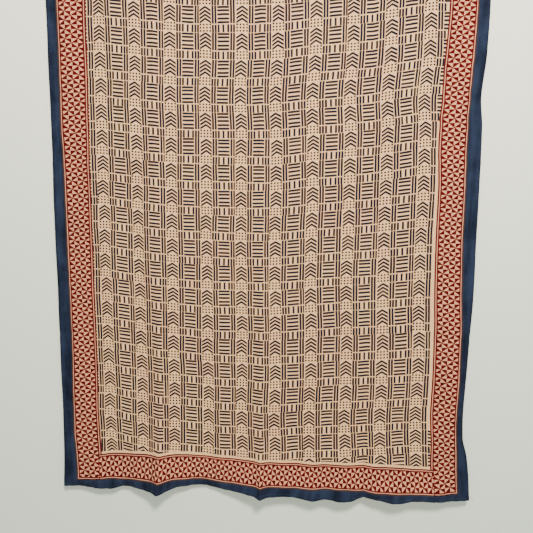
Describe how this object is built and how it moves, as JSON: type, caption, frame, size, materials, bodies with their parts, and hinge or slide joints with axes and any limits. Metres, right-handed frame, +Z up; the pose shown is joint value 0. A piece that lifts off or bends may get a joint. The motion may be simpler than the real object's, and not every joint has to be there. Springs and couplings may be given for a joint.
{
  "type": "sarong cloth",
  "caption": "Rectangular printed cotton sarong hung by its top edge, almost flat above and waving softly towards an uneven hem, with a bordered edge and a dyed band.",
  "frame": {"origin": "middle of the cloth's top edge", "axes": "+X across the cloth to the viewer's right, +Y from the printed front to the back, +Z up along the drop"},
  "size_m": [1.0903, 0.0702, 1.8174],
  "materials": {
    "printed_cotton": "plain weave cotton, block printed in dark brown-black and madder red with an indigo edge band, matt"
  },
  "bodies": {
    "root": {"sarong_cloth": "printed_cotton"}
  },
  "joints": []
}
